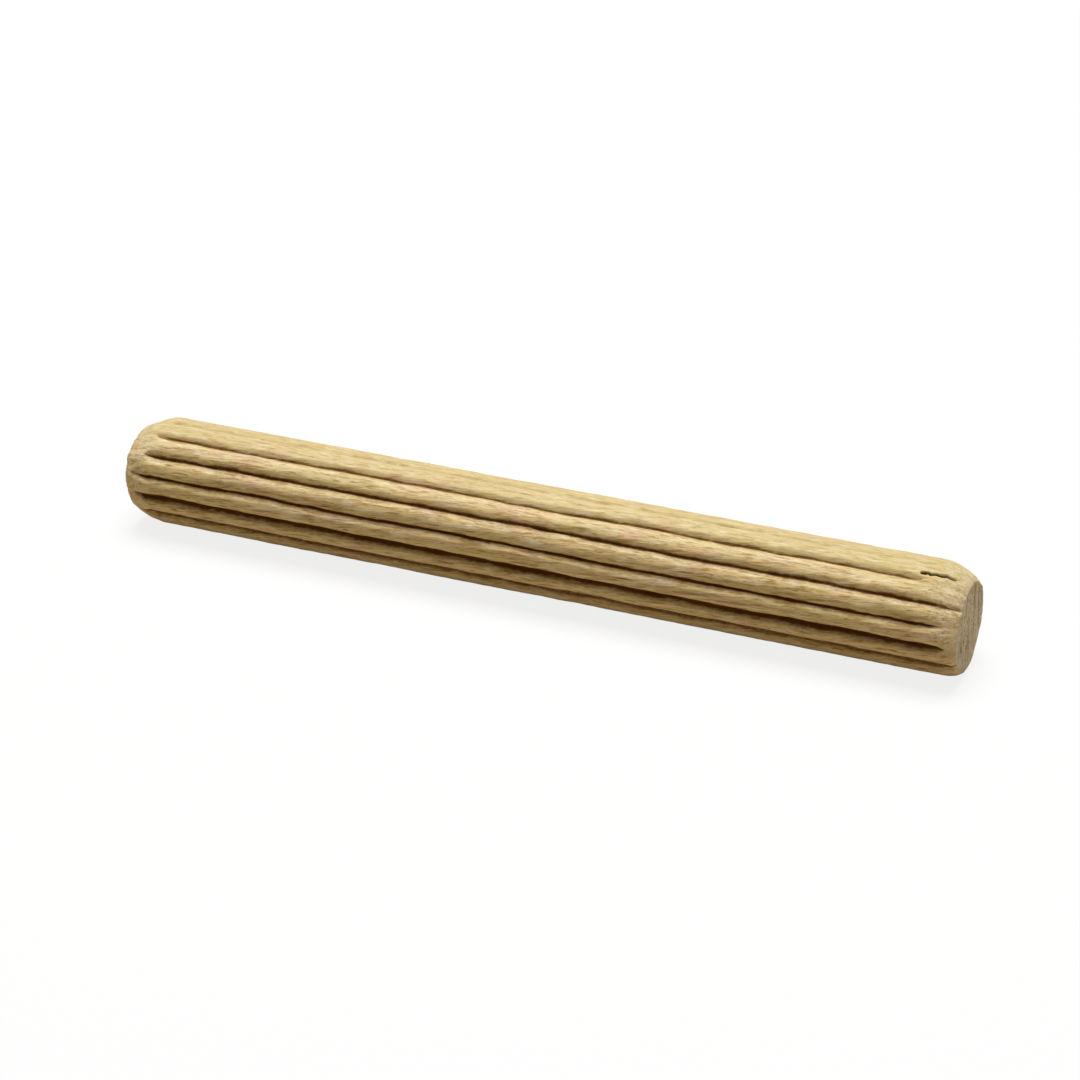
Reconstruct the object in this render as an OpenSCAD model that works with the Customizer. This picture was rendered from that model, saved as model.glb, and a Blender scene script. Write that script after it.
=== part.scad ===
// Fluted wooden dowel pin, lying on a flute with its axis along X.
// The pin is one piece of wood: a round bar with V flutes moulded into two opposite
// sides, a smooth band left between them, and a rounded chamfer on each end.
// Millimetres and degrees.

/* [Pin] */
// Diameter over the rib crests and the smooth bands
pin_d = 10; // [9:0.5:12]
// Length between the two end faces
pin_l = 80; // [40:1:120]

/* [Ends] */
// Length of the chamfer along the pin
chamfer_l = 2.8; // [2:0.1:4]
// Diameter of the flat sawn end face
end_face_d = 7.4; // [6.4:0.1:7.8]
// Radius of the curve that rounds the chamfer outwards
chamfer_curve_r = 9; // [7:0.5:20]

/* [Flutes] */
// Flutes on each fluted side
flutes_per_side = 6; // [3:1:6]
// Angle about the axis from one flute to the next
flute_pitch = 25; // [20:0.2:26]
// Depth of a flute below the rib crests
flute_depth = 0.58; // [0.3:0.02:0.7]
// Included angle of the V tooth that cuts a flute
flute_v = 84; // [60:1:88]
// How far each V leans from radial towards the cutter head, 0 for not at all
flute_lean = 0.2; // [0:0.05:0.3]

/* [Hidden] */
$fn = 96;

pin_r = pin_d / 2;
half_l = pin_l / 2;
end_face_r = end_face_d / 2;

// Room by which a cutter stands clear of the wood
clear = 1;

// The pin lies on the two edges of an outermost flute, whose mouth looks straight down.
// A flute wall that leaves the tip at this angle from radial comes out this far round.
function way_round(wall) = wall - asin((pin_r - flute_depth) * sin(wall) / pin_r);
outermost = (flutes_per_side - 1) / 2 * flute_pitch;
lean = flute_lean * outermost;
mouth_shift = (way_round(lean + flute_v / 2) + way_round(lean - flute_v / 2)) / 2;
// Turn about the axis that brings it there, from fluted sides facing level
seat_turn = 90 - outermost + mouth_shift;

// The chamfer is an arc through the rim of the end face and the shoulder of the pin.
// Points are [distance from the axis, place along the axis].
rim = [end_face_r, half_l];
shoulder = [pin_r, half_l - chamfer_l];
chord = norm(rim - shoulder);
inward = [-(rim.y - shoulder.y), rim.x - shoulder.x] / chord;
arc_centre = (rim + shoulder) / 2 + inward * sqrt(pow(chamfer_curve_r, 2) - pow(chord / 2, 2));

// What the chamfer takes off half of the bar's outline, at the end at +Y
module chamfer_off() {
    difference() {
        translate([end_face_r - clear, shoulder.y - clear])
            square([pin_r - end_face_r + 2 * clear, chamfer_l + 2 * clear]);
        translate(arc_centre)
            circle(r = chamfer_curve_r, $fn = 180);
    }
}

// The plain round pin with both ends chamfered, standing along Z
module round_pin() {
    rotate_extrude()
        difference() {
            translate([0, -half_l])
                square([pin_r, pin_l]);
            chamfer_off();
            mirror([0, 1])
                chamfer_off();
        }
}

// One V tooth: its tip is flute_depth below the crest, its sides run out past the crest
module flute_cut(turn) {
    reach = flute_depth + clear;
    half_w = reach * tan(flute_v / 2);
    translate([pin_r - flute_depth, 0])
        rotate(turn)
            polygon([[0, 0], [reach, half_w], [reach, -half_w]]);
}

// All the flutes that one cutter head leaves, spread evenly about its own direction
module fluted_side(head_angle) {
    for (i = [0 : flutes_per_side - 1]) {
        from_head = (i - (flutes_per_side - 1) / 2) * flute_pitch;
        rotate(head_angle + from_head)
            flute_cut(-flute_lean * from_head);
    }
}

// The pin: fluted from end to end by a cutter head on each side, laid along X
module dowel_pin() {
    color("burlywood")
        rotate([90, 0, 90])
            difference() {
                round_pin();
                linear_extrude(height = pin_l + 2 * clear, center = true) {
                    fluted_side(180 - seat_turn);
                    fluted_side(-seat_turn);
                }
            }
}

dowel_pin();
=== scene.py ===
"""A fluted beech dowel pin, 10 mm thick and 80 mm long, lying on a pale table top."""

import math
from functools import reduce

import bpy
import numpy as np
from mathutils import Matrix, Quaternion, Vector


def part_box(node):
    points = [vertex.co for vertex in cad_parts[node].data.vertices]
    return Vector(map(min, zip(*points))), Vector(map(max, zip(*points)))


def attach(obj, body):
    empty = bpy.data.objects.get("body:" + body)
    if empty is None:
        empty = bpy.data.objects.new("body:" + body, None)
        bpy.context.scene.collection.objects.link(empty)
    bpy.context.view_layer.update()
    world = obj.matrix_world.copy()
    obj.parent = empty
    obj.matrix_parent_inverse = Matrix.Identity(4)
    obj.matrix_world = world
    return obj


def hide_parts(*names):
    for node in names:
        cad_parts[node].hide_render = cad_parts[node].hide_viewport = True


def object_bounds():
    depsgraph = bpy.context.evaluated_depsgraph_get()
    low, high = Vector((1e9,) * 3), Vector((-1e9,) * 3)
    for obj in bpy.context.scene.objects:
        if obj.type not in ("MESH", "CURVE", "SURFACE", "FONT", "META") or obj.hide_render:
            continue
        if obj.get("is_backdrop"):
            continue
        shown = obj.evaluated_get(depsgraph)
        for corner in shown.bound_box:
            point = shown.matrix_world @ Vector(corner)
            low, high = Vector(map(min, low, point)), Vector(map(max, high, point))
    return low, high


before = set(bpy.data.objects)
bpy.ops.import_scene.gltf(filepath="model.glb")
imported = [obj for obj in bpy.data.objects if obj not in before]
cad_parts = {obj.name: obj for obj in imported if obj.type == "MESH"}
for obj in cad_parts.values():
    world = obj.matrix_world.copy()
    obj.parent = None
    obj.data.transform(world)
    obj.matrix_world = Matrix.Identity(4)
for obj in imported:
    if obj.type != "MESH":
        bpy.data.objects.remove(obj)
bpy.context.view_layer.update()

# ---------------------------------------------------------------- sizes, in mm and degrees
#
# An angle round the pin is 0 on its far side (+Y), 90 at the top, 180 on its near side and 270 below.
# A wander is a random line along the pin, given as its step in mm, its swing and the number of its seed.

MM = 0.001
PIN = "dowel_pin"

box_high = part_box(PIN)[1]
HALF_LENGTH = box_high.x / MM
RADIUS = box_high.y / MM

# The chamfer at each end: its length, the flat end's radius, and the radius of its bulge
CHAMFER_LENGTH = 2.8
END_RADIUS = 3.7
CHAMFER_CURVE = 9.0

# It is ground by feel. Its edge is rounded, and wavers round the pin: the waves' steps in degrees, their
# swings in mm and their seeds. Its finish begins over CHAMFER_BLEND.
CHAMFER_EDGE_ROUND = 0.22
CHAMFER_WAVES = ((24.0, 0.20, 21), (6.0, 0.08, 22))
CHAMFER_BLEND = 0.8

# Low on the right end the chamfer is this much shorter, round this middle and within this reach
CHAMFER_SHORTER = 1.9
SHORTER_MIDDLE, SHORTER_REACH = 232.0, 56.0

# The flutes: two opposite groups of six, each a V that leans towards the middle of its group. FLUTE_V is
# the V's angle, and FLUTE_LEAN is how far it leans for each degree from that middle.
FLUTES_PER_SIDE = 6
FLUTE_PITCH = 25.0
FLUTE_DEPTH = 0.58
FLUTE_V = 84.0
FLUTE_LEAN = 0.2

# The ribs swell beside the pressed flutes: how much wider the mouths get, how much the walls bulge
# (1 is a straight V), how round the bottoms are, as a share of half a mouth, and how round the ribs'
# edges are
MOUTH_SWELL = 2.0
WALL_BULGE = 2.7
BOTTOM_ROUND = 0.035
RIB_EDGE_ROUND = 0.05

# At each end a flute fades over RUN_OUT, a share of which lies past its end. As shares too: how wide it
# stays there, how wide one without depth would be, and how much of its depth the cutter's splines press
# on into the chamfer.
RUN_OUT = 1.2
PAST_END = 0.5
RUN_OUT_WIDTH = 0.35
SHALLOW_WIDTH = 0.55
PRESSED_ON = 0.45

# The painted shade line in a flute's bottom thins out over LINE_RUN_OUT, down to a share of its width.
# A fainter painted shade lies a few degrees beside it, which is lower down on the pin's near side. In
# halves of the line's width: where the line and the fainter shade begin to fade, and where they end.
LINE_RUN_OUT = 3.0
LINE_PAST_END = 0.3
LINE_THINNEST = 0.02
LINE_FADES = (0.5, 1.5)
SPREAD_SHADE_SHIFT = 1.6
SPREAD_SHADE_FADES = (0.625, 3.125)
SPREAD_SHADE_STRENGTH = 0.55

# How each flute wanders: its depth and its width, as shares, its way along the pin, in degrees, and the
# width of its painted shade line, as a share. The seeds here are counted from the flute's own, which are
# SEEDS_PER_FLUTE apart.
FLUTE_SEED = 100
SEEDS_PER_FLUTE = 8
DEPTH_WANDERS = ((7.0, 0.10, 0), (1.3, 0.09, 1))
WIDTH_WANDERS = ((2.6, 0.16, 4),)
PATH_WANDERS = ((9.0, 0.65, 2), (2.1, 0.45, 3), (0.6, 0.20, 5))
LINE_WANDERS = ((1.7, 0.24, 6), (0.5, 0.20, 7))

# A flute's traits: how far it strays from its place, in degrees, its depth, as a share of the full one,
# the width of its painted shade line and how dark that painted shade is, and how far from the left and the
# right end it runs out
FLUTE_TRAITS = ("strays", "depth", "line", "dark", "left", "right")

# The flutes on the near side, from the top of the pin down
NEAR_FLUTES = (
    (0.0, 0.42, 0.20, 0.20, 3.2, 3.4),
    (0.3, 0.84, 0.28, 0.84, 2.9, 4.0),
    (0.0, 1.04, 0.44, 0.88, 2.3, 0.3),
    (-0.7, 1.12, 0.32, 1.00, 1.2, 1.5),
    (-1.3, 1.16, 0.56, 0.94, 1.4, 1.0),
    (-1.5, 1.00, 0.50, 0.76, 2.2, 0.0),
)

# Those on the far side get theirs at random, between these limits
FAR_SEED = 11
FAR_FLUTES = {
    "depth": (0.90, 1.10),
    "left": (1.2, 2.6),
    "right": (0.4, 2.6),
    "line": (0.28, 0.50),
    "dark": (0.80, 1.00),
    "strays": (-1.0, 1.0),
}

# A shallow furrow along the rib below the fourth flute
FURROW_ANGLE, FURROW_REACH = 173.5, 2.6
FURROW_DEPTH = 0.03
FURROW_PATH_WANDERS = ((5.0, 0.7, 39),)
FURROW_DEPTH_WANDERS = ((3.0, 0.02, 40),)

# The torn crack at the right end, on the rib above the second flute. Its dark colour is painted shade in
# the slit. It climbs across the chamfer, and grows narrower on the way, and its painted shade paler.
# CRACK_TAPER is its width at its start and end, and CRACK_MEAN its mean depth, as shares. The wanders of
# its width and its depth are shares too.
CRACK_START, CRACK_END = 35.9, 39.4
CRACK_ANGLE = 104.8
CRACK_CLIMB = 8.0
CRACK_WIDTH = 0.38
CRACK_TAPER = (1.10, 0.70)
CRACK_DEPTH = 0.45
CRACK_MEAN = 0.88
CRACK_PALER = 0.35
CRACK_PATH_WANDERS = ((0.55, 1.2, 51), (0.22, 0.9, 53))
CRACK_WIDTH_WANDERS = ((0.35, 0.36, 52),)
CRACK_DEPTH_WANDERS = ((0.45, 0.12, 54),)

# The hook at its start, and the dip along its lower side: how far below the crack and how far to the
# right they lie, and their length and width
HOOK_BELOW, HOOK_RIGHT, HOOK_LENGTH, HOOK_WIDTH = 0.6, 0.22, 0.7, 0.42
DIP_BELOW, DIP_RIGHT, DIP_LENGTH, DIP_WIDTH = 2.6, 0.3, 4.4, 0.9
DIP_DEPTH = 0.07

# Relief of the wood on the pin's side: each layer's patches with their step round the pin, in degrees,
# their step along it, how many degrees they slant in a mm along it, their depth and their seed. The
# grain runs a few degrees off the axis, so the shorter patches slant.
SIDE_RELIEF = {
    # Ridges of fibres, about 0.3 and 0.7 mm apart
    "fine_fibres": (3.4, 5.0, 0.0, 0.018, 31),
    "coarse_fibres": (8.0, 14.0, 0.0, 0.018, 32),
    # Swells and hollows a few mm long, where the wood sprang back unevenly from the cutter
    "swells": (11.0, 2.8, 1.5, 0.045, 36),
    "feathers": (5.0, 1.5, 4.0, 0.050, 38),
    "long_swells": (60.0, 9.0, 0.0, 0.030, 37),
    # Nibbled edges of the ribs: fine ragged steps where they meet the flutes
    "nibbled_edges": (2.4, 0.45, 0.0, 0.050, 35),
    # Crushed fibres on the chamfer: short streaks down to the rim, and faint grinding rings near it
    "crushed_fibres": (2.2, 1.6, 0.0, 0.030, 33),
    "grinding_rings": (26.0, 0.24, 0.0, 0.035, 34),
}

# The nibbled edges lie where the flutes reach this share of their depth, give or take this much
NIBBLED_AT, NIBBLED_REACH = 0.22, 0.20
BARELY_IN_FLUTE = 0.01

# How far from an end the grinding rings begin to fade, and where they stop
GRINDING_FADES = (1.0, 1.7)

# Torn pits and knocks, scattered over the side: how many, the limits of their lengths and widths, how
# strong the weakest may be, how far from the pin's middle they may lie, and the depth of the strongest
SCATTER_SEED = 5
TORN_PITS = {"count": 150, "lengths": (0.7, 3.4), "widths": (0.16, 0.34), "weakest": 0.25, "reach": 37.0}
TORN_DEPTH = 0.085
KNOCKS = {"count": 26, "lengths": (1.4, 3.6), "widths": (0.7, 1.6), "weakest": 0.30, "reach": 36.0}
KNOCK_DEPTH = 0.045

# How open the fibres are. The smooth band that faces up was rolled smoother than the rest, round this
# middle and within this reach, and its tone is painted darker there as painted shade on the top of the pin.
OPEN_FIBRES = 1.15
ROLLED_SMOOTHER_AND_SHADED = 0.54
SMOOTH_MIDDLE, SMOOTH_REACH = 62.0, 56.0

# Relief of the sawn ends: how far the saw lines lean on the left end, which is half their lean on the
# right one, the steps across and along them, the steps of the soft patches and of the torn pores, the
# level at which the pores' pattern begins, and the depth of each. From the rim inwards, the relief sets
# in over END_RELIEF_BEGINS, a share of the end's radius.
SAW_LEAN = 8.0
SAW_STEPS = (0.32, 3.0)
SOFT_STEPS = (1.5, 1.5)
PORE_STEPS = (0.3, 0.3)
PORE_BEGINS = 0.25
SAW_DEPTH, SOFT_DEPTH, PORE_DEPTH = 0.05, 0.05, 0.12
END_RELIEF_BEGINS = 0.12
END_SEED = 60

# The ends' patterns are counted from a corner this far off the axis
PATTERN_CORNER = 20.0

# The worn rim round each sawn end: the width of its painted highlight, over what length the side
# bends inwards to it, how far, and how that wavers round the pin, as a step in degrees, a swing in mm
# and a seed
RIM_HIGHLIGHT_WIDTH = 0.30
RIM_LENGTH = 0.5
RIM_WEAR = 0.16
RIM_WAVE = (5.0, 0.08, 71)

# What the finish is told about each point: how far it lies in a flute's painted shade line, in a torn
# pit, in the crack's painted shade, in a chamfer, in a rim's painted highlight or on a sawn end, whose
# paleness is partly painted light, and how open its fibres are, which also sets the painted shade on the
# top band
MASKS = ("line", "torn", "crack", "chamfer", "rim", "face", "open")

# The mesh: points round the pin, rows along it, and rings on each sawn end
POINTS_ROUND = 256
ROWS_ALONG = 330
RINGS_ON_END = 20

# Its points crowd in the flutes, at the crack and near the ends: how much closer they lie there, and how
# far that reaches. FINE_PLACES is how many places the crowding is worked out at.
FINE_PLACES = 8000
CROWD_IN_FLUTE, IN_FLUTE_REACH = 1.3, 6.5
CROWD_AT_CRACK, AT_CRACK_REACH = 3.0, 4.5
CROWD_AT_END, AT_END_FADES = 2.4, (4.0, 8.0)


# ---------------------------------------------------------------- random relief

# How far from the pin's middle a wander reaches, in halves of its length, and how many values patches
# have before they repeat: across, where they don't close on themselves, and along
WANDER_REACH = 1.1
PATCHES_ACROSS, PATCHES_ALONG = 64, 512


def soft_step(t):
    """0 to 1 with an easy start and finish."""
    t = np.clip(t, 0.0, 1.0)
    return t * t * (3.0 - 2.0 * t)


def fade_out(away, begins, ends):
    """1 up to where the fading begins, and 0 from where it ends."""
    return soft_step((ends - away) / (ends - begins))


def hump(away, reach):
    """1 in the middle, and nearly 0 at twice the reach."""
    return np.exp(-((away / reach) ** 2))


def plateau(away, reach):
    """Close to 1 for half the reach, and nearly 0 a third past it."""
    return np.exp(-((away / reach) ** 4))


def wander(at, step, seed):
    """A smooth random line from -1 to 1, with a new value every `step` mm."""
    count = int(2.0 * WANDER_REACH * HALF_LENGTH / step) + 3
    knots = np.random.default_rng(seed).uniform(-1.0, 1.0, count)
    place = (np.asarray(at) + WANDER_REACH * HALF_LENGTH) / step
    knot = np.clip(np.floor(place).astype(int), 0, len(knots) - 2)
    return knots[knot] + (knots[knot + 1] - knots[knot]) * soft_step(place - knot)


def wanders(at, shade_lines, seed=0):
    """Several wanders added up, each given as its step, its swing and the number of its seed."""
    return sum(swing * wander(at, step, seed + number) for step, swing, number in shade_lines)


def patches(u, v, step_u, step_v, seed, turn=None):
    """Smooth random relief from -1 to 1, in patches of step_u by step_v. It closes on itself where u
    reaches turn."""
    across = round(turn / step_u) if turn else PATCHES_ACROSS
    values = np.random.default_rng(seed).uniform(-1.0, 1.0, (across, PATCHES_ALONG))
    place_u = u / (turn / across if turn else step_u)
    place_v = v / step_v
    low_u, low_v = np.floor(place_u).astype(int), np.floor(place_v).astype(int)
    part_u, part_v = soft_step(place_u - low_u), soft_step(place_v - low_v)
    here, next_u = low_u % across, (low_u + 1) % across
    at_v, next_v = low_v % PATCHES_ALONG, (low_v + 1) % PATCHES_ALONG
    near = values[here, at_v] + (values[next_u, at_v] - values[here, at_v]) * part_u
    far = values[here, next_v] + (values[next_u, next_v] - values[here, next_v]) * part_u
    return near + (far - near) * part_v


def bumps(u, v, step_u, step_v, seed, turn=None):
    """The same relief, from 0 to 1."""
    return 0.5 + 0.5 * patches(u, v, step_u, step_v, seed, turn)


def end_waves(angle, x, step, swing, seed):
    """Random waves round each end of the pin, different at the two ends."""
    return swing * patches(angle, np.sign(x), step, 1.0, seed, 360.0)


def smaller(a, b, rounding):
    """The smaller of two radii, with the corner between them rounded off."""
    mix = np.clip(0.5 + 0.5 * (b - a) / rounding, 0.0, 1.0)
    return b * (1.0 - mix) + a * mix - rounding * mix * (1.0 - mix)


def turned_by(angle, other):
    """How far an angle lies past another one, from -180 to 180."""
    return (angle - other + 180.0) % 360.0 - 180.0


def spot(angle, x, at_angle, at_x, length, width):
    """1 in the middle of a long spot that follows the grain, 0 outside it."""
    along = (x - at_x) / (length / 2.0)
    across = np.radians(turned_by(angle, at_angle)) * RADIUS / (width / 2.0)
    return np.clip(1.0 - along**2 - across**2, 0.0, 1.0)


def scattered(angle, x, rng, count, lengths, widths, weakest, reach):
    """Spots at random places, one after another, each at a random strength up to 1."""
    for _ in range(count):
        length, width = rng.uniform(*lengths), rng.uniform(*widths)
        here = spot(angle, x, rng.uniform(0.0, 360.0), rng.uniform(-reach, reach), length, width)
        yield here * rng.uniform(weakest, 1.0)


# ---------------------------------------------------------------- flutes


def way_round(wall):
    """How far round the pin a flute's wall reaches from the flute's bottom, for a wall at this angle."""
    tip = (RADIUS - FLUTE_DEPTH) / RADIUS
    return wall - math.degrees(math.asin(tip * math.sin(math.radians(wall))))


def flute_heads():
    """The middle angle of the near and of the far group, for a pin that lies on an outermost flute."""
    outermost = (FLUTES_PER_SIDE - 1) / 2.0 * FLUTE_PITCH
    lean = FLUTE_LEAN * outermost
    mouth_shift = (way_round(lean + FLUTE_V / 2.0) + way_round(lean - FLUTE_V / 2.0)) / 2.0
    seat_turn = 90.0 - outermost + mouth_shift
    return 180.0 - seat_turn, -seat_turn


def all_flutes():
    """Every flute: its traits, its bottom's angle, its lean and its seed."""
    rng = np.random.default_rng(FAR_SEED)
    flutes = []
    for head, given in zip(flute_heads(), (NEAR_FLUTES, None)):
        for number in range(FLUTES_PER_SIDE):
            from_head = (number - (FLUTES_PER_SIDE - 1) / 2.0) * FLUTE_PITCH
            # Traits are drawn for every flute, and the given ones then take their place
            flute = {trait: rng.uniform(*limits) for trait, limits in FAR_FLUTES.items()}
            if given:
                flute.update(zip(FLUTE_TRAITS, given[number]))
            flute["angle"] = head + from_head + flute["strays"]
            flute["lean"] = -FLUTE_LEAN * from_head
            flute["seed"] = FLUTE_SEED + SEEDS_PER_FLUTE * len(flutes)
            flutes.append(flute)
    return flutes


def inside_ends(x, flute, run_out, share_past):
    """1 well inside a flute's two ends and 0 past them, with a share of each change past the end."""
    from_left = x + HALF_LENGTH - flute["left"]
    from_right = HALF_LENGTH - x - flute["right"]
    return soft_step(from_left / run_out + share_past) * soft_step(from_right / run_out + share_past)


def painted_flute_shade(off, x, flute):
    """How much painted shade a flute's bottom gets, from 0 to 1, `off` degrees from its middle: a dark
    painted shade line, and a fainter painted shade that spreads from it over one wall."""
    thinned = inside_ends(x, flute, LINE_RUN_OUT, LINE_PAST_END)
    half_width = flute["line"] / 2.0 * (1.0 + wanders(x, LINE_WANDERS, flute["seed"]))
    half_width = half_width * np.maximum(thinned, LINE_THINNEST)
    from_shade_line = np.radians(np.abs(off)) * RADIUS / half_width
    from_spread_shade = np.radians(np.abs(off - SPREAD_SHADE_SHIFT)) * RADIUS / half_width
    return np.maximum(fade_out(from_shade_line, *LINE_FADES), SPREAD_SHADE_STRENGTH * fade_out(from_spread_shade, *SPREAD_SHADE_FADES))


def flute_cut(angle, x, flute):
    """How deep one flute is pressed in at every point, in mm, and how much painted shade its bottom gets
    there, from 0 to 1. Its walls bulge, as the ribs swell beside it, and it narrows to a point where it
    runs out."""
    seed = flute["seed"]
    fade = inside_ends(x, flute, RUN_OUT, PAST_END)
    depth = FLUTE_DEPTH * flute["depth"] * fade * (1.0 + wanders(x, DEPTH_WANDERS, seed))
    off = turned_by(angle, flute["angle"] + wanders(x, PATH_WANDERS, seed))
    width = RUN_OUT_WIDTH + (1.0 - RUN_OUT_WIDTH) * fade
    width = width * (SHALLOW_WIDTH + (1.0 - SHALLOW_WIDTH) * flute["depth"])
    width = width * (1.0 + wanders(x, WIDTH_WANDERS, seed))
    reach = [MOUTH_SWELL * way_round(FLUTE_V / 2.0 + side * flute["lean"]) for side in (1.0, -1.0)]
    across = np.abs(off) / (np.where(off > 0.0, *reach) * width)
    cut = depth * np.clip(1.0 - np.sqrt(across**2 + BOTTOM_ROUND**2), 0.0, 1.0) ** WALL_BULGE
    # The painted shade line pales once the flute has lost two thirds of its depth
    return cut, flute["dark"] * painted_flute_shade(off, x, flute) * soft_step(3.0 * fade)


# ---------------------------------------------------------------- the pin's side and ends


def chamfered_radius(from_middle):
    """The turned pin's radius: full along the shank, then the bulging chamfer down to the flat end."""
    rise = RADIUS - END_RADIUS
    chord = math.hypot(CHAMFER_LENGTH, rise)
    inward = math.sqrt(CHAMFER_CURVE**2 - (chord / 2.0) ** 2)
    centre_x = HALF_LENGTH - CHAMFER_LENGTH / 2.0 - inward * rise / chord
    centre_r = (RADIUS + END_RADIUS) / 2.0 - inward * CHAMFER_LENGTH / chord
    reach = np.clip(from_middle - centre_x, 0.0, CHAMFER_CURVE)
    return centre_r + np.sqrt(CHAMFER_CURVE**2 - reach**2)


def ground_chamfers(angle, x):
    """The radius at every point before the flutes are pressed in, and 1 in the chamfers, 0 on the shank."""
    waver = sum(end_waves(angle, x, *wave) for wave in CHAMFER_WAVES)
    low_right = plateau(turned_by(angle, SHORTER_MIDDLE), SHORTER_REACH) * (x > 0.0)
    from_middle = np.abs(x) + waver - CHAMFER_SHORTER * low_right
    turned = smaller(np.full_like(x, RADIUS), chamfered_radius(from_middle), CHAMFER_EDGE_ROUND)
    return turned, soft_step((from_middle - (HALF_LENGTH - CHAMFER_LENGTH)) / CHAMFER_BLEND)


def wood_relief(angle, x, in_flute, in_chamfer):
    """How far fibres, swells, nibbled edges and grinding marks lie below the surface at every point."""
    kept_to = {
        "nibbled_edges": hump(in_flute - NIBBLED_AT, NIBBLED_REACH) * (in_flute > BARELY_IN_FLUTE),
        "crushed_fibres": in_chamfer,
        "grinding_rings": fade_out(HALF_LENGTH - np.abs(x), *GRINDING_FADES),
    }
    sunk = np.zeros_like(x)
    for name, (step_round, step_along, slant, depth, seed) in SIDE_RELIEF.items():
        layer = bumps(angle + slant * x, x, step_round, step_along, seed, 360.0)
        sunk = sunk + depth * kept_to.get(name, 1.0) * layer
    return sunk


def furrow(angle, x):
    """How deep the furrow below the fourth flute is at every point."""
    away = turned_by(angle, FURROW_ANGLE + wanders(x, FURROW_PATH_WANDERS))
    return hump(away, FURROW_REACH) * (FURROW_DEPTH + wanders(x, FURROW_DEPTH_WANDERS))


def torn_crack(angle, x):
    """How deep the crack and the dip beside it are at every point, and how much painted shade the crack
    gets.
    """
    middle = (CRACK_START + CRACK_END) / 2.0
    share = np.clip((x - CRACK_START) / (CRACK_END - CRACK_START), 0.0, 1.0)
    path = CRACK_ANGLE - CRACK_CLIMB * share**2 + wanders(x, CRACK_PATH_WANDERS)
    width = CRACK_WIDTH * (np.interp(share, (0.0, 1.0), CRACK_TAPER) + wanders(x, CRACK_WIDTH_WANDERS))
    slit = np.sqrt(spot(angle, x, path, middle, CRACK_END - CRACK_START, width))
    slit = slit * (CRACK_MEAN + wanders(x, CRACK_DEPTH_WANDERS))
    hook_at = CRACK_ANGLE + HOOK_BELOW, CRACK_START + HOOK_RIGHT
    crack = np.maximum(slit, np.sqrt(spot(angle, x, *hook_at, HOOK_LENGTH, HOOK_WIDTH)))
    dip = spot(angle, x, path + DIP_BELOW, middle + DIP_RIGHT, DIP_LENGTH, DIP_WIDTH)
    # The crack's painted shade pales towards its end
    return CRACK_DEPTH * crack + DIP_DEPTH * dip, crack * (1.0 - CRACK_PALER * share)


def side_relief(angle, x, flutes):
    """The side's radius at every point, and the masks that its finish needs."""
    turned, in_chamfer = ground_chamfers(angle, x)

    # Flutes keep their depth from the shank's full radius, so they get shallow in the chamfer, all but a
    # groove that the cutter's splines press on into it
    cuts, shade_lines = zip(*(flute_cut(angle, x, flute) for flute in flutes))
    cut, line = np.max(cuts, axis=0), np.max(shade_lines, axis=0)
    pressed = smaller(turned, RADIUS - cut, RIB_EDGE_ROUND)
    radius = np.minimum(pressed, turned - PRESSED_ON * cut * in_chamfer)
    in_flute = np.clip((turned - radius) / FLUTE_DEPTH, 0.0, 1.0)

    rng = np.random.default_rng(SCATTER_SEED)
    torn = reduce(np.maximum, scattered(angle, x, rng, **TORN_PITS))
    knocked = sum(scattered(angle, x, rng, **KNOCKS))
    crack_depth, crack = torn_crack(angle, x)
    sunk = wood_relief(angle, x, in_flute, in_chamfer) + furrow(angle, x)
    sunk = sunk + TORN_DEPTH * torn + KNOCK_DEPTH * knocked + crack_depth

    # The top band is rolled smoother, and gets painted shade
    rolled_and_shaded = plateau(turned_by(angle, SMOOTH_MIDDLE), SMOOTH_REACH)
    masks = {"line": line, "torn": torn, "crack": crack, "chamfer": in_chamfer}
    masks["open"] = OPEN_FIBRES - ROLLED_SMOOTHER_AND_SHADED * rolled_and_shaded
    return radius - sunk, masks


def end_relief(y, z, end):
    """How far a sawn end face lies below the pin's full length: saw lines, soft patches and torn pores.
    The left end is number 1 and the right one number 2."""
    lean = math.radians(SAW_LEAN * end)
    across_saw = y * math.cos(lean) + z * math.sin(lean) + PATTERN_CORNER
    along_saw = z * math.cos(lean) - y * math.sin(lean) + PATTERN_CORNER
    y, z = y + PATTERN_CORNER, z + PATTERN_CORNER
    saw = bumps(across_saw, along_saw, *SAW_STEPS, END_SEED + end)
    soft = bumps(y, z, *SOFT_STEPS, END_SEED + 1 + end)
    pore = np.clip(patches(y, z, *PORE_STEPS, END_SEED + 2 + end) - PORE_BEGINS, 0.0, 1.0)
    return SAW_DEPTH * saw + SOFT_DEPTH * soft + PORE_DEPTH * pore


def crowded(low, high, count, crowding):
    """`count` places from low to high, closer together where `crowding` is larger."""
    fine = np.linspace(low, high, FINE_PLACES)
    share = np.concatenate(([0.0], np.cumsum(crowding((fine[1:] + fine[:-1]) / 2.0))))
    return np.interp(np.linspace(0.0, share[-1], count), share, fine)


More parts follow.
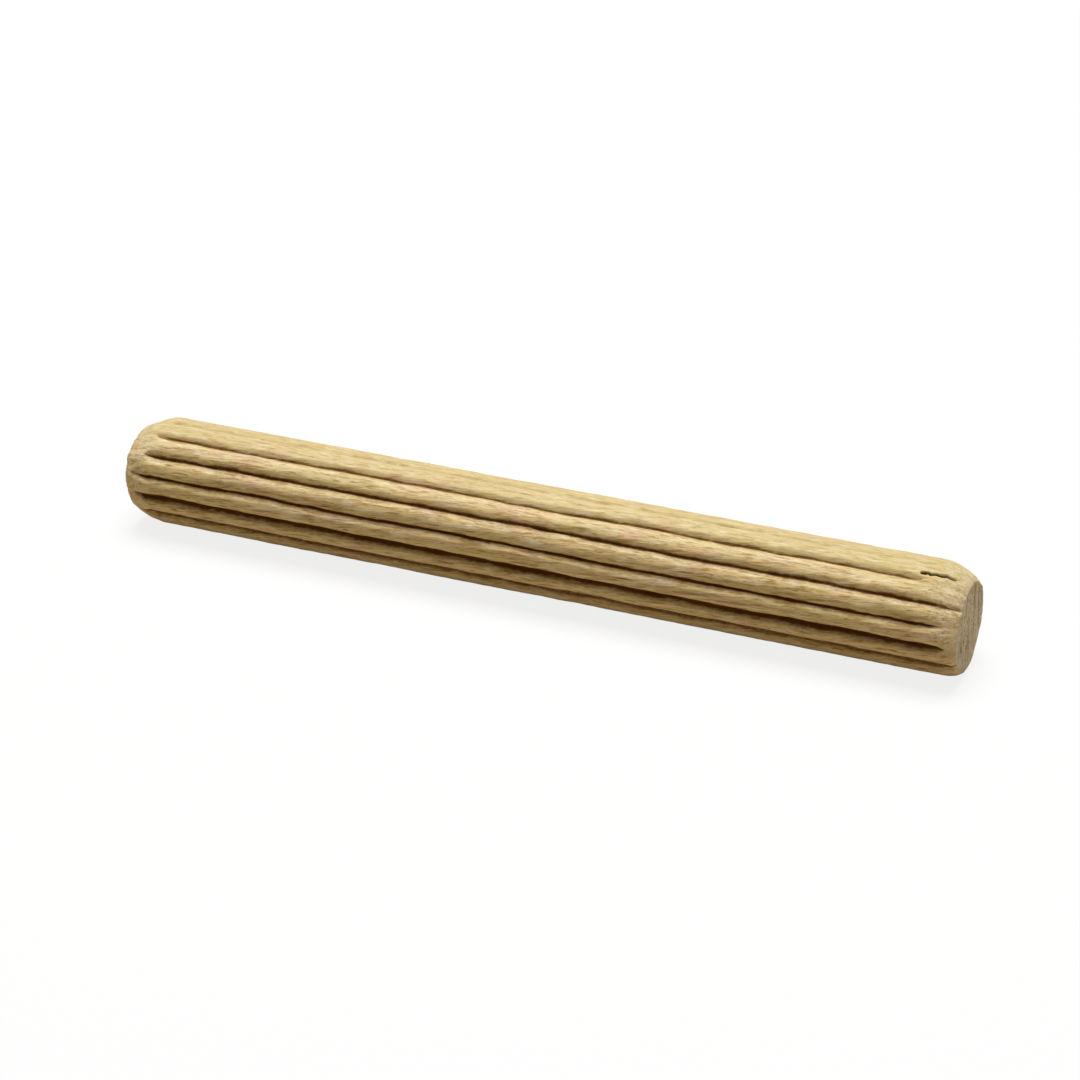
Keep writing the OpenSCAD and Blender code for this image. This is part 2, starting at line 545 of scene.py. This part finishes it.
def pin_surface():
    """Every point of the pin, with its masks: rings on the left end, rows along the side, rings on the
    right end."""
    flutes = all_flutes()

    def crowd_round(angle):
        """Points crowd where a flute is cut, and most of all at the crack's mean angle."""
        in_flute = sum(plateau(turned_by(angle, flute["angle"]), IN_FLUTE_REACH) for flute in flutes)
        at_crack = plateau(turned_by(angle, CRACK_ANGLE - CRACK_CLIMB / 3.0), AT_CRACK_REACH)
        return 1.0 + CROWD_IN_FLUTE * in_flute + CROWD_AT_CRACK * at_crack

    def crowd_along(x):
        """Rows crowd towards both ends."""
        return 1.0 + CROWD_AT_END * fade_out(HALF_LENGTH - np.abs(x), *AT_END_FADES)

    angles = crowded(0.0, 360.0, POINTS_ROUND + 1, crowd_round)[:-1]
    rows = crowded(-HALF_LENGTH, HALF_LENGTH, ROWS_ALONG, crowd_along)
    x, angle = np.meshgrid(rows, angles, indexing="ij")
    radius, masks = side_relief(angle, x, flutes)

    # The last rows bend inwards a little, so that the rim is worn and not a knife edge
    from_end = HALF_LENGTH - np.abs(x)
    bend = np.clip(1.0 - from_end / RIM_LENGTH, 0.0, 1.0) ** 2
    radius = radius - (RIM_WEAR + end_waves(angle, x, *RIM_WAVE)) * bend
    side = {"x": x, "y": radius * np.cos(np.radians(angle)), "z": radius * np.sin(np.radians(angle))}
    # The rims get a painted highlight
    side.update(masks, rim=hump(from_end, RIM_HIGHLIGHT_WIDTH), face=np.zeros_like(x))

    def end_rings(row, way, end):
        """Rings from the rim of one end to its middle."""
        inward = np.linspace(1.0, 0.0, RINGS_ON_END + 1)[1:, None]
        y, z = side["y"][row] * inward, side["z"][row] * inward
        dip = end_relief(y, z, end) * soft_step((1.0 - inward) / END_RELIEF_BEGINS)
        ring = {name: np.zeros_like(y) for name in masks}
        ring.update(x=way * (HALF_LENGTH - dip), y=y, z=z, face=np.ones_like(y), open=np.ones_like(y))
        ring["rim"] = np.broadcast_to(hump((1.0 - inward) * END_RADIUS, RIM_HIGHLIGHT_WIDTH), y.shape)
        return ring

    left, right = end_rings(0, -1.0, 1), end_rings(-1, 1.0, 2)
    return {name: np.concatenate((left[name][::-1], side[name], right[name])) for name in side}


def place_object(name, data):
    """Puts an object into the scene."""
    placed = bpy.data.objects.new(name, data)
    bpy.context.scene.collection.objects.link(placed)
    return placed


def make_pin():
    """The pin as one closed mesh, with its masks kept on the points."""
    surface = pin_surface()
    rows, columns = surface["x"].shape
    # The first and the last ring have shrunk to one point each
    kept = {name: np.concatenate((at[0, :1], at[1:-1].ravel(), at[-1, :1])) for name, at in surface.items()}
    points = np.stack([kept[name] for name in "xyz"], axis=1) * MM

    last = len(points) - 1
    number = 1 + np.arange((rows - 2) * columns).reshape(rows - 2, columns)
    beside = np.roll(number, -1, axis=1)
    faces = np.stack((number[1:], beside[1:], beside[:-1], number[:-1]), axis=-1).reshape(-1, 4).tolist()
    faces += [(0, here, after) for here, after in zip(number[0].tolist(), beside[0].tolist())]
    faces += [(last, after, here) for here, after in zip(number[-1].tolist(), beside[-1].tolist())]

    mesh = bpy.data.meshes.new("fluted_pin")
    mesh.from_pydata(points.tolist(), [], faces)
    mesh.shade_smooth()
    for name in MASKS:
        mask = mesh.attributes.new(name, "FLOAT", "POINT")
        mask.data.foreach_set("value", kept[name].astype(np.float32))
    return place_object("fluted_pin", mesh)


# ---------------------------------------------------------------- finishes


def linear(hex_colour):
    """An sRGB hex colour as linear red, green, blue and alpha."""
    parts = [int(hex_colour[at : at + 2], 16) / 255.0 for at in (1, 3, 5)]
    return (*(part / 12.92 if part <= 0.04045 else ((part + 0.055) / 1.055) ** 2.4 for part in parts), 1.0)


def add(tree, kind, settings=None, inputs=None):
    """Adds one shader node, with its settings, and a value or another node's output on each input."""
    node = tree.nodes.new("ShaderNode" + kind)
    for name, value in (settings or {}).items():
        setattr(node, name, value)
    for socket, value in (inputs or {}).items():
        if isinstance(value, bpy.types.NodeSocket):
            tree.links.new(value, node.inputs[socket])
        else:
            node.inputs[socket].default_value = value
    return node


def new_material(name):
    """An empty node material: the material itself, its tree and its Principled shader."""
    material = bpy.data.materials.new(name)
    material.use_nodes = True
    tree = material.node_tree
    return material, tree, tree.nodes["Principled BSDF"]


# The colour sockets of a Mix node
MIX_A, MIX_B, MIX_COLOUR = 6, 7, 2

# Noises in the beech: how many degrees each slants up towards +X, as the grain runs out of the pin at a
# slight angle, how many times it is drawn out that way, how many swells it has in a mm across it, its
# detail and how harsh that detail is
BEECH_NOISES = {
    # Pinkish and greenish clouds, some 2 mm wide and 6 mm long
    "cloud": (6.0, 3.0, 0.50, 2.0, 0.55),
    # Fibre lines 0.2 to 0.4 mm apart and a few mm long, with hair-fine ones between them
    "fibre": (7.0, 11.0, 4.0, 4.0, 0.65),
    "pale_fibre": (10.0, 9.0, 2.6, 3.0, 0.60),
    "hair": (4.0, 20.0, 9.0, 2.0, 0.60),
    # Pores: dark dashes 0.1 mm wide, drawn a little coarser than real ones so that they show
    "pore": (3.0, 10.0, 8.0, 1.0, 0.50),
    # Torn fibre ends, 0.2 by 0.4 mm, which make a dry and crumbly surface
    "crumb": (15.0, 2.5, 6.0, 3.0, 0.65),
    # Crushed fibres on the chamfer, 0.3 mm wide
    "crushed": (0.0, 5.0, 3.6, 2.0, 0.60),
    # On the sawn ends: pore dots, drawn 0.25 mm wide so that they show, upright saw marks 0.4 mm apart,
    # and upright strips 2 mm wide
    "dots": (0.0, 1.0, 4.0, 2.0, 0.70),
    "saw": (90.0, 8.0, 2.4, 2.0, 0.60),
    "strip": (90.0, 5.0, 0.50, 1.0, 0.50),
}

# The beech's colours, each laid over the last: the pattern that lays it on, the levels of that pattern
# at which it begins and is fullest, how much of it there is then, the mask that keeps it to one place,
# and the colour
BEECH_COAT = "#F1DBA7"
BEECH_LAYERS = (
    ("rings", 0.25, 1.00, 1.00, None, "#E7CB90"),
    ("cloud", 0.53, 0.70, 0.68, None, "#E9C7A4"),
    ("cloud", 0.47, 0.32, 0.56, None, "#DECD88"),
    # Painted shade: the smooth top band is painted darker, where its fibres are rolled smoother
    ("open", 1.10, 0.65, 0.75, None, "#D7C48E"),
    ("fibre", 0.48, 0.67, 0.70, "open", "#AE8446"),
    ("pale_fibre", 0.50, 0.70, 0.70, "open", "#FAEEC9"),
    ("hair", 0.54, 0.64, 0.35, "open", "#A0763C"),
    ("fleck", 0.50, 1.00, 0.45, "open", "#94692F"),
    ("pore", 0.64, 0.74, 0.55, "open", "#80592C"),
    ("crushed", 0.35, 0.65, 0.36, "chamfer", "#F1E2BF"),
    ("crushed", 0.50, 0.35, 0.22, "chamfer", "#BFA578"),
    # The sawn ends' colour: their own tone, painted much paler as painted light, since the lamp barely
    # reaches them
    ("face", 0.00, 1.00, 1.00, None, "#FBEFD8"),
    ("rings", 0.20, 1.00, 0.40, "face", "#E9D9BA"),
    ("strip", 0.52, 0.68, 0.50, "face", "#B8A07C"),
    ("strip", 0.50, 0.34, 0.75, "face", "#FFF6E0"),
    ("saw", 0.50, 0.66, 0.60, "face", "#9A8060"),
    ("saw", 0.46, 0.36, 0.65, "face", "#FFF8E6"),
    ("dots", 0.50, 0.66, 0.50, "face", "#94795A"),
    # Painted highlight along the rims round the sawn ends
    ("rim", 0.20, 1.00, 0.35, None, "#F4E6C8"),
    ("torn", 0.15, 0.90, 0.40, None, "#7A5A30"),
    # Painted shade in the flutes' bottoms
    ("ragged_shade_line", 0.12, 1.00, 1.00, None, "#6B3D00"),
    # Painted shade in the crack
    ("crack", 0.05, 0.55, 0.96, None, "#462A00"),
)

# Growth rings: how far apart they are and where the pin's axis lies from the pith, in mm, how much their
# waver is drawn out along the pin, and how strong it is. A wave texture of scale 1 has one ring in
# WAVE_LENGTH.
RINGS_APART = 1.5
AXIS_FROM_PITH = (0.0, 17.0, 26.0)
RINGS_DRAWN_OUT = 40.0
RINGS_WAVER = 1.6
WAVE_LENGTH = 0.314

# Ray flecks: how many cells there are in a mm across the grain, how much they are drawn out along it,
# how far from a cell's middle its spindle ends and is fullest, and the share of cells without one
FLECK_CELLS = 2.4
FLECK_DRAWN_OUT = 8.0
FLECK_ENDS, FLECK_FULL = 0.32, 0.14
FLECKS_LEFT_OUT = 0.5

# How far the flutes' painted shade lines fray, as a share of their darkness
FRAYED = 0.5

# Raw wood is matt: its roughness between the dark fibres and on them, and its faint shine
FIBRE_ROUGHNESS = {"From Min": 0.3, "From Max": 0.7, "To Min": 0.66, "To Max": 0.82}
WOOD_IOR = 1.5
WOOD_SHINE = 0.12

# Relief finer than the mesh can carry: fibres 0.06 mm high, and shares of other patterns on them
BUMP_HEIGHT = 0.06 * MM
BUMP_STRENGTH = 0.8
BUMP_SHARES = {"hair": 0.35, "crumb": 0.55, "pore": -0.35}


def turned_beech():
    """Raw beech, turned and fluted: matt straw-coloured wood, with fibre lines and short ray flecks.
    Painted shade darkens the flutes, the crack and the smooth top band, a painted highlight runs along the
    rims, and the sawn ends are painted paler as painted light. It gives a warm, dry, slightly streaky
    surface without gloss."""
    material, tree, shader = new_material("turned_beech")
    where = add(tree, "TexCoord").outputs["Object"]
    mm = add(tree, "VectorMath", {"operation": "MULTIPLY"}, {0: where, 1: (1.0 / MM,) * 3}).outputs[0]
    pattern = {name: add(tree, "Attribute", {"attribute_name": name}).outputs["Fac"] for name in MASKS}
    for name, (slant, drawn_out, per_mm, detail, harsh) in BEECH_NOISES.items():
        lay = {"Vector": mm, "Rotation": (0.0, -math.radians(slant), 0.0), "Scale": (drawn_out, 1.0, 1.0)}
        place = add(tree, "Mapping", {"vector_type": "TEXTURE"}, lay)
        inputs = {"Vector": place.outputs[0], "Scale": per_mm, "Detail": detail, "Roughness": harsh}
        pattern[name] = add(tree, "TexNoise", {}, inputs).outputs["Fac"]

    # The pith lies well outside the pin, so the growth rings cross it as slightly bent layers
    lay = {"Vector": mm, "Scale": (1.0 / RINGS_DRAWN_OUT, 1.0, 1.0), "Location": AXIS_FROM_PITH}
    place = add(tree, "Mapping", {}, lay)
    settings = {"wave_type": "RINGS", "rings_direction": "X", "wave_profile": "SAW"}
    inputs = {"Vector": place.outputs[0], "Scale": WAVE_LENGTH / RINGS_APART, "Distortion": RINGS_WAVER}
    pattern["rings"] = add(tree, "TexWave", settings, inputs).outputs["Fac"]

    # Ray flecks: spindles of 0.25 by 2 mm, darker than the wood round them, in one cell out of two
    shrunk = {0: mm, 1: (1.0 / FLECK_DRAWN_OUT, 1.0, 1.0)}
    place = add(tree, "VectorMath", {"operation": "MULTIPLY"}, shrunk)
    cells = add(tree, "TexVoronoi", {}, {"Vector": place.outputs[0], "Scale": FLECK_CELLS})
    levels = {"Value": cells.outputs["Distance"], "From Min": FLECK_ENDS, "From Max": FLECK_FULL}
    spindle = add(tree, "MapRange", {}, levels).outputs["Result"]
    compared = {0: cells.outputs["Color"], 1: FLECKS_LEFT_OUT}
    chosen = add(tree, "Math", {"operation": "GREATER_THAN"}, compared).outputs[0]
    pattern["fleck"] = add(tree, "Math", {"operation": "MULTIPLY"}, {0: spindle, 1: chosen}).outputs[0]

    # The flutes' painted shade lines, with frayed edges
    swing = {0: pattern["crumb"], 1: FRAYED, 2: -FRAYED / 2.0}
    fray = add(tree, "Math", {"operation": "MULTIPLY_ADD"}, swing).outputs[0]
    frayed = {0: pattern["line"], 1: fray}
    pattern["ragged_shade_line"] = add(tree, "Math", {"operation": "ADD"}, frayed).outputs[0]

    wood = linear(BEECH_COAT)
    for name, begins, fullest, most, kept_to, colour in BEECH_LAYERS:
        levels = {"Value": pattern[name], "From Min": begins, "From Max": fullest, "To Max": most}
        amount = add(tree, "MapRange", {"interpolation_type": "SMOOTHSTEP"}, levels).outputs["Result"]
        if kept_to:
            kept = {0: amount, 1: pattern[kept_to]}
            amount = add(tree, "Math", {"operation": "MULTIPLY"}, kept).outputs[0]
        laid = {"Factor": amount, MIX_A: wood, MIX_B: linear(colour)}
        wood = add(tree, "Mix", {"data_type": "RGBA"}, laid).outputs[MIX_COLOUR]
    tree.links.new(wood, shader.inputs["Base Color"])

    rough = add(tree, "MapRange", {}, {"Value": pattern["fibre"], **FIBRE_ROUGHNESS}).outputs["Result"]
    tree.links.new(rough, shader.inputs["Roughness"])
    shader.inputs["IOR"].default_value = WOOD_IOR
    shader.inputs["Specular IOR Level"].default_value = WOOD_SHINE

    height = pattern["fibre"]
    for name, share in BUMP_SHARES.items():
        more = {0: pattern[name], 1: share, 2: height}
        height = add(tree, "Math", {"operation": "MULTIPLY_ADD"}, more).outputs[0]
    height = add(tree, "Math", {"operation": "MULTIPLY"}, {0: height, 1: pattern["open"]}).outputs[0]
    bump = add(tree, "Bump", {}, {"Height": height, "Strength": BUMP_STRENGTH, "Distance": BUMP_HEIGHT})
    tree.links.new(bump.outputs["Normal"], shader.inputs["Normal"])
    return material


# The table's colour as it lights the pin from below, and as it is seen
TABLE_BOUNCE = "#BCAD93"
WHITE = "#FFFFFF"
LAMINATE_ROUGHNESS = 0.9

# Where it is seen, a share of its white is its own. That share is this large near the pin and far away,
# and it changes between these distances, in metres.
OWN_WHITE_NEAR, OWN_WHITE_FAR = 0.85, 0.97
NEAR_ENDS, FAR_BEGINS = 0.12, 0.60
OWN_WHITE_STRENGTH = 0.985


def seen_or_lighting(tree, lighting, seen):
    """One colour for the light that reaches the pin, another to the eye, also in a reflection or through
    glass. Gives that colour, and 1 where it is seen."""
    path = add(tree, "LightPath").outputs
    by_eye = path["Is Camera Ray"]
    for ray in ("Is Glossy Ray", "Is Transmission Ray"):
        by_eye = add(tree, "Math", {"operation": "MAXIMUM"}, {0: by_eye, 1: path[ray]}).outputs[0]
    inputs = {"Factor": by_eye, MIX_A: linear(lighting), MIX_B: linear(seen)}
    return add(tree, "Mix", {"data_type": "RGBA"}, inputs).outputs[MIX_COLOUR], by_eye


def white_table():
    """A table top in matt white laminate. It shows white to the eye with a pale shadow under the pin, and
    sends a little warm light back up."""
    material, tree, shader = new_material("white_table")
    colour, by_eye = seen_or_lighting(tree, TABLE_BOUNCE, WHITE)
    tree.links.new(colour, shader.inputs["Base Color"])
    shader.inputs["Roughness"].default_value = LAMINATE_ROUGHNESS
    shader.inputs["Specular IOR Level"].default_value = 0.0

    # Its own white keeps the shadow under the pin pale, and there is more of it far off, where the lamp
    # gets weak
    own_white = add(tree, "Emission", {}, {"Color": linear(WHITE), "Strength": OWN_WHITE_STRENGTH})
    place = add(tree, "TexCoord").outputs["Object"]
    away = add(tree, "VectorMath", {"operation": "LENGTH"}, {0: place}).outputs["Value"]
    growth = {"Value": away, "From Min": NEAR_ENDS, "From Max": FAR_BEGINS}
    growth.update({"To Min": OWN_WHITE_NEAR, "To Max": OWN_WHITE_FAR})
    own_share = add(tree, "MapRange", {"interpolation_type": "SMOOTHSTEP"}, growth).outputs["Result"]
    share = add(tree, "Math", {"operation": "MULTIPLY"}, {0: by_eye, 1: own_share}).outputs[0]
    both = add(tree, "MixShader", {}, {"Fac": share, 1: shader.outputs["BSDF"], 2: own_white.outputs[0]})
    tree.links.new(both.outputs[0], tree.nodes["Material Output"].inputs["Surface"])
    return material


# ---------------------------------------------------------------- table, light and camera, in metres

# Half the width of the square table top
TABLE_HALF = 2.5

# One square soft box, and the room's light as it reaches the pin and as it is seen
LAMP_PLACE = (-0.02, 0.10, 0.72)
LAMP_SIZE = 0.44
LAMP_WATTS = 6.1
ROOM_LIGHT = "#555048"
ROOM_SEEN = "#FAFAF8"

# The camera looks at the pin's middle, rolled a little. Its lens and its sensor's width are in mm.
VIEW_FROM = Vector((0.121, -0.272, 0.162))
VIEW_ROLL = -1.2
LENS, SENSOR_WIDTH = 127.0, 36.0


def make_table(height):
    """A wide flat table top under the pin."""
    ways = ((-1, -1), (1, -1), (1, 1), (-1, 1))
    corners = [(way_x * TABLE_HALF, way_y * TABLE_HALF, height) for way_x, way_y in ways]
    mesh = bpy.data.meshes.new("table_top")
    mesh.from_pydata(corners, [], [(0, 1, 2, 3)])
    mesh.materials.append(white_table())
    table = place_object("table_top", mesh)
    table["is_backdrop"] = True


def aim(stand, place, roll=0.0):
    """Puts a lamp or a camera at a place, pointing at the pin's middle."""
    stand.location = place
    stand.rotation_mode = "QUATERNION"
    rolled_and_shaded = Quaternion((0.0, 0.0, 1.0), math.radians(roll))
    stand.rotation_quaternion = (-Vector(place)).to_track_quat("-Z", "Y") @ rolled_and_shaded


def make_lamp():
    """A square soft box over the pin."""
    lamp = bpy.data.lights.new("overhead_soft_box", "AREA")
    lamp.shape, lamp.size, lamp.energy = "SQUARE", LAMP_SIZE, LAMP_WATTS
    aim(place_object("overhead_soft_box", lamp), LAMP_PLACE)


def make_room():
    """Pale walls to the eye, and a faint even light from all round."""
    world = bpy.data.worlds.new("room")
    bpy.context.scene.world = world
    world.use_nodes = True
    tree = world.node_tree
    colour, _ = seen_or_lighting(tree, ROOM_LIGHT, ROOM_SEEN)
    tree.links.new(colour, tree.nodes["Background"].inputs["Color"])


def make_camera():
    """Looks down at the pin from its right front."""
    camera = bpy.data.cameras.new("camera")
    camera.lens, camera.sensor_width = LENS, SENSOR_WIDTH
    stand = place_object("camera", camera)
    aim(stand, VIEW_FROM, VIEW_ROLL)
    bpy.context.scene.camera = stand


pin = make_pin()
pin.data.materials.append(turned_beech())
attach(pin, "root")
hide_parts(PIN)

make_camera()
make_table(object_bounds()[0].z)
make_lamp()
make_room()
bpy.context.scene.view_settings.view_transform = "Standard"
